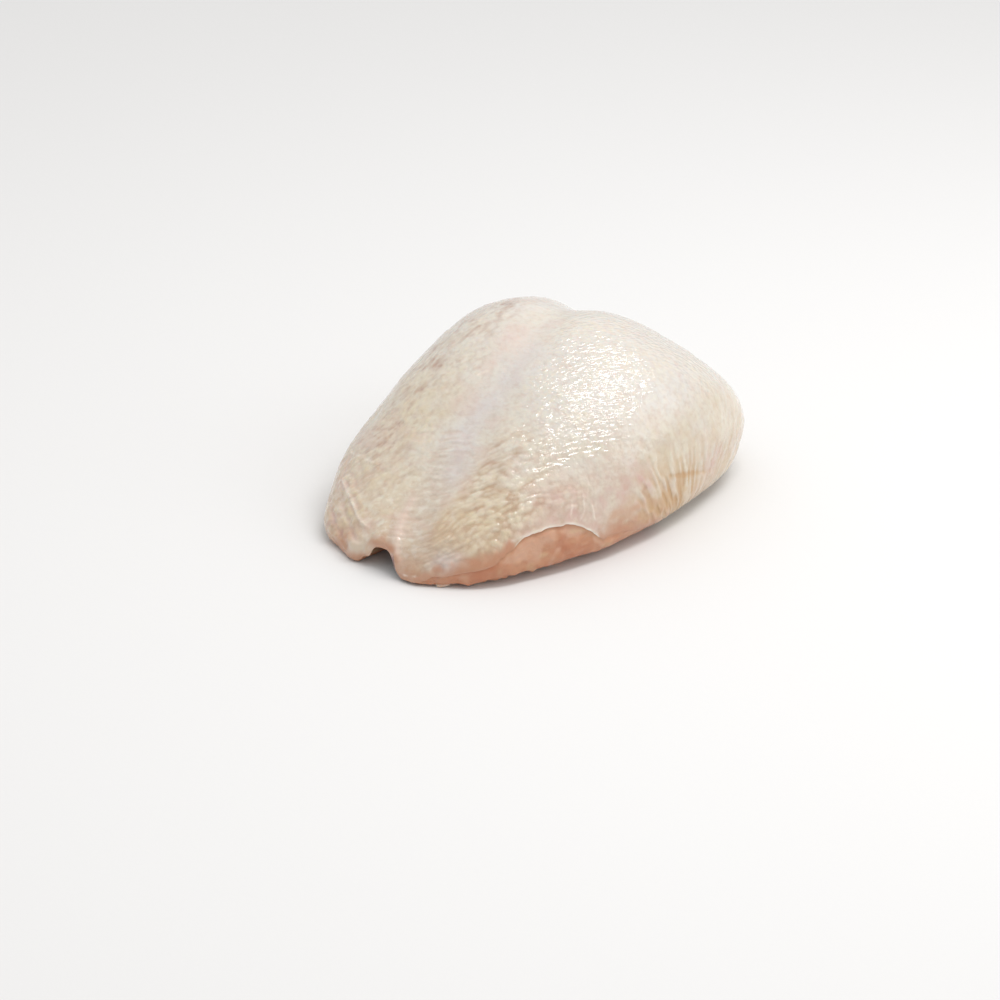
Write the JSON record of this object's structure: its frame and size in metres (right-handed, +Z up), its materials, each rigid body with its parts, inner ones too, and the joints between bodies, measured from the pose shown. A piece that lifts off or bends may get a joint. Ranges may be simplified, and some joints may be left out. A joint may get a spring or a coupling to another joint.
{
  "type": "boneless turkey breast",
  "caption": "Raw boneless turkey breast with its skin on: two plump lobes joined along a shallow keel valley, wide neck end, narrow tail tip, flat cut side.",
  "frame": {"origin": "centre of the bounding box at its base, on the flat cut side that rests on the table", "axes": "+Y along the keel to the wide neck end, -Y to the narrow tail tip, +X to the right lobe that faces the camera, +Z up through the skin"},
  "size_m": [0.1876, 0.27, 0.1059],
  "materials": {
    "skin_and_meat": "wet raw skin, cream with pink meat low on one side"
  },
  "bodies": {
    "root": {"turkey_breast": "skin_and_meat"}
  },
  "joints": []
}
